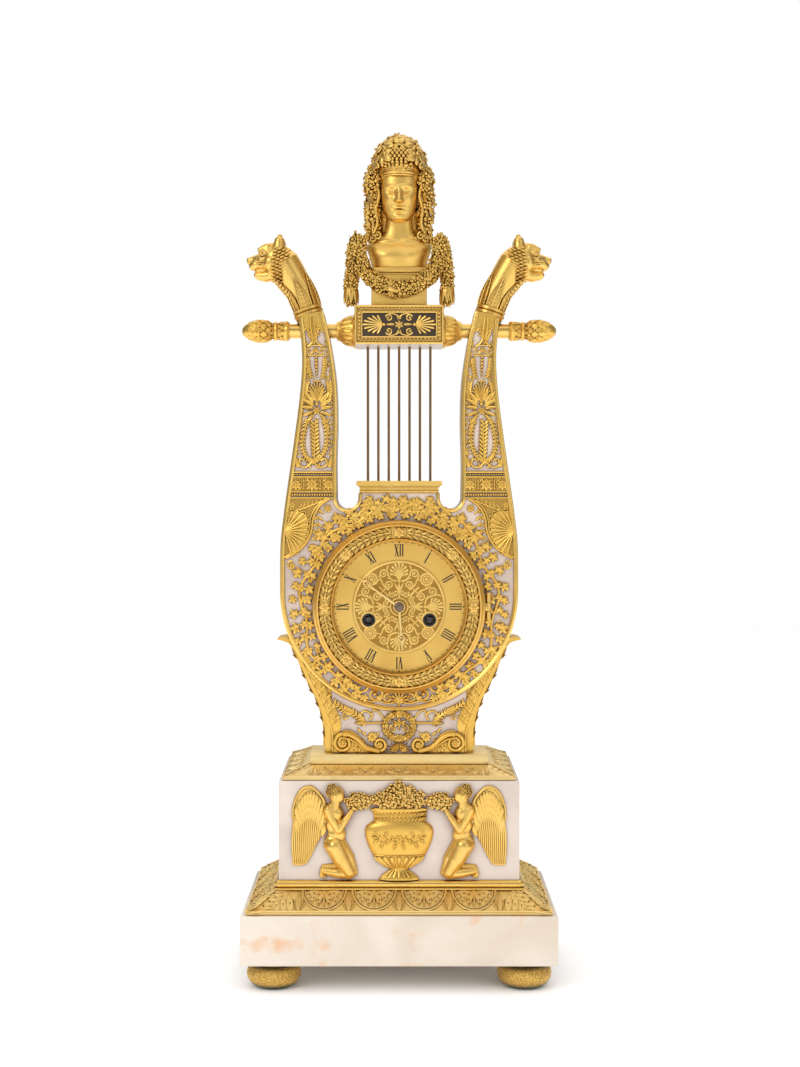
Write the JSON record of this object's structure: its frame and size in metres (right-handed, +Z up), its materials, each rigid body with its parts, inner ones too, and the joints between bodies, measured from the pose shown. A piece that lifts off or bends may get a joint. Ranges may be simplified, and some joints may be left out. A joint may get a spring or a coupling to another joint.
{
  "type": "lyre clock",
  "caption": "Mantel clock in the form of a lyre on a stepped plinth, alabaster with gilt mounts, a bust above, hinged glazed bezel, striking spring movement and pendulum.",
  "frame": {"origin": "on the floor under the middle of the base", "axes": "+Z up, dial facing -Y, +X to the right of someone facing the dial"},
  "size_m": [0.218, 0.136, 0.5768],
  "materials": {
    "gilt_bronze": "fire-gilt bronze, part burnished and part matte, with dark patina in the recesses",
    "alabaster": "polished warm white alabaster with faint clouding and rust specks",
    "dial_gilding": "matte gilding",
    "movement_brass": "turned and polished brass",
    "steel": "polished steel",
    "string_wire": "darkened gilt wire",
    "clear_glass": "clear flat glass",
    "bell_bronze": "turned bell bronze"
  },
  "bodies": {
    "case": {"base_moulding": "gilt_bronze", "bun_feet": "gilt_bronze", "plinth_cap": "gilt_bronze", "step_slab": "gilt_bronze", "genii": "gilt_bronze", "urn_relief": "gilt_bronze", "lyre_edging": "gilt_bronze", "pierced_surround": "gilt_bronze", "arm_mounts": "gilt_bronze", "foot_mount": "gilt_bronze", "side_leaves": "gilt_bronze", "string_bridge": "gilt_bronze", "crossbar": "gilt_bronze", "cups": "gilt_bronze", "finials": "gilt_bronze", "left_lion": "gilt_bronze", "right_lion": "gilt_bronze", "block_frame": "gilt_bronze", "bust": "gilt_bronze", "garland": "gilt_bronze", "bezel_seat": "gilt_bronze", "hinge_pins": "gilt_bronze", "base_slab": "alabaster", "plinth_block": "alabaster", "lyre_body": "alabaster", "left_arm": "alabaster", "right_arm": "alabaster", "top_block": "alabaster", "dial": "dial_gilding", "dial_medallion": "dial_gilding", "drum": "movement_brass", "front_plate": "movement_brass", "back_plate": "movement_brass", "plate_pillars": "movement_brass", "suspension_cock": "movement_brass", "bell_stand": "movement_brass", "tie_rods": "steel", "strings": "string_wire", "bell": "bell_bronze"},
    "bezel": {"bezel": "gilt_bronze", "bezel_glass": "clear_glass"},
    "rear_cover": {"rear_cover": "movement_brass"},
    "centre_arbor": {"centre_wheel": "movement_brass", "minute_hand": "dial_gilding"},
    "hour_wheel": {"hour_wheel": "movement_brass", "hour_hand": "dial_gilding"},
    "minute_wheel": {"minute_wheel": "movement_brass"},
    "second_wheel": {"second_wheel": "movement_brass"},
    "going_barrel": {"going_barrel": "movement_brass"},
    "third_wheel": {"third_wheel": "movement_brass"},
    "escape_wheel": {"escape_wheel": "movement_brass"},
    "going_winder": {"going_winder": "steel"},
    "strike_winder": {"strike_winder": "steel"},
    "strike_barrel": {"strike_barrel": "movement_brass"},
    "strike_wheel": {"strike_wheel": "movement_brass"},
    "pin_wheel": {"pin_wheel": "movement_brass"},
    "fly": {"fly": "movement_brass"},
    "hammer": {"hammer": "steel"},
    "pendulum": {"pendulum": "movement_brass"},
    "anchor": {"anchor": "steel"}
  },
  "joints": [
    {"name": "bezel_hinge", "type": "hinge", "parent": "case", "child": "bezel", "pos_m": [0.0609, -0.0236, 0.2525], "axis": [0, 0, 1], "range_deg": [0, 105]},
    {"name": "rear_cover_hinge", "type": "hinge", "parent": "case", "child": "rear_cover", "pos_m": [0.0523, 0.0543, 0.2525], "axis": [0, 0, -1], "range_deg": [0, 110]},
    {"name": "minute_turn", "type": "hinge", "parent": "case", "child": "centre_arbor", "pos_m": [0, 0, 0.2525], "axis": [0, 1, 0], "continuous": true},
    {"name": "hour_turn", "type": "hinge", "parent": "case", "child": "hour_wheel", "pos_m": [0, 0, 0.2525], "axis": [0, 1, 0], "continuous": true},
    {"name": "minute_wheel_turn", "type": "hinge", "parent": "case", "child": "minute_wheel", "pos_m": [0, 0, 0.2405], "axis": [0, 1, 0], "continuous": true},
    {"name": "second_wheel_turn", "type": "hinge", "parent": "case", "child": "second_wheel", "pos_m": [0.00036, 0, 0.2365], "axis": [0, 1, 0], "continuous": true},
    {"name": "going_barrel_turn", "type": "hinge", "parent": "case", "child": "going_barrel", "pos_m": [0.0208, 0, 0.2435], "axis": [0, 1, 0], "continuous": true},
    {"name": "third_wheel_turn", "type": "hinge", "parent": "case", "child": "third_wheel", "pos_m": [0.00688, 0, 0.26562], "axis": [0, 1, 0], "continuous": true},
    {"name": "escape_wheel_turn", "type": "hinge", "parent": "case", "child": "escape_wheel", "pos_m": [0, 0, 0.2765], "axis": [0, 1, 0], "continuous": true},
    {"name": "going_winding", "type": "hinge", "parent": "case", "child": "going_winder", "pos_m": [0.0208, 0, 0.2435], "axis": [0, 1, 0], "range_deg": [0, 1440]},
    {"name": "strike_winding", "type": "hinge", "parent": "case", "child": "strike_winder", "pos_m": [-0.0208, 0, 0.2435], "axis": [0, 1, 0], "range_deg": [0, 1440]},
    {"name": "pin_wheel_turn", "type": "hinge", "parent": "case", "child": "pin_wheel", "pos_m": [-0.01092, 0, 0.27887], "axis": [0, 1, 0], "continuous": true},
    {"name": "strike_wheel_turn", "type": "hinge", "parent": "case", "child": "strike_wheel", "pos_m": [-0.01892, 0, 0.26502], "axis": [0, 1, 0], "continuous": true},
    {"name": "strike_barrel_turn", "type": "hinge", "parent": "case", "child": "strike_barrel", "pos_m": [-0.0208, 0, 0.2435], "axis": [0, 1, 0], "continuous": true},
    {"name": "fly_turn", "type": "hinge", "parent": "case", "child": "fly", "pos_m": [-0.01254, 0, 0.28809], "axis": [0, 1, 0], "continuous": true},
    {"name": "hammer_lift", "type": "hinge", "parent": "case", "child": "hammer", "pos_m": [0.03, 0, 0.2685], "axis": [0, 1, 0], "range_deg": [0, 14]},
    {"name": "pendulum_swing", "type": "hinge", "parent": "case", "child": "pendulum", "pos_m": [0, 0, 0.289], "axis": [0, 1, 0], "range_deg": [-4, 4]},
    {"name": "anchor_swing", "type": "hinge", "parent": "case", "child": "anchor", "pos_m": [0, 0, 0.289], "axis": [0, 1, 0], "range_deg": [-4, 4]}
  ],
  "couplings": [
    {"joint": "hour_turn", "follows": "minute_turn", "ratio": 0.083333},
    {"joint": "minute_wheel_turn", "follows": "minute_turn", "ratio": -0.33333},
    {"joint": "second_wheel_turn", "follows": "minute_turn", "ratio": -0.11111},
    {"joint": "going_barrel_turn", "follows": "minute_turn", "ratio": 0.013889},
    {"joint": "third_wheel_turn", "follows": "minute_turn", "ratio": -12},
    {"joint": "escape_wheel_turn", "follows": "minute_turn", "ratio": 144},
    {"joint": "strike_wheel_turn", "follows": "pin_wheel_turn", "ratio": -0.11111},
    {"joint": "strike_barrel_turn", "follows": "pin_wheel_turn", "ratio": 0.013889},
    {"joint": "fly_turn", "follows": "pin_wheel_turn", "ratio": -8},
    {"joint": "anchor_swing", "follows": "pendulum_swing", "ratio": 1}
  ]
}
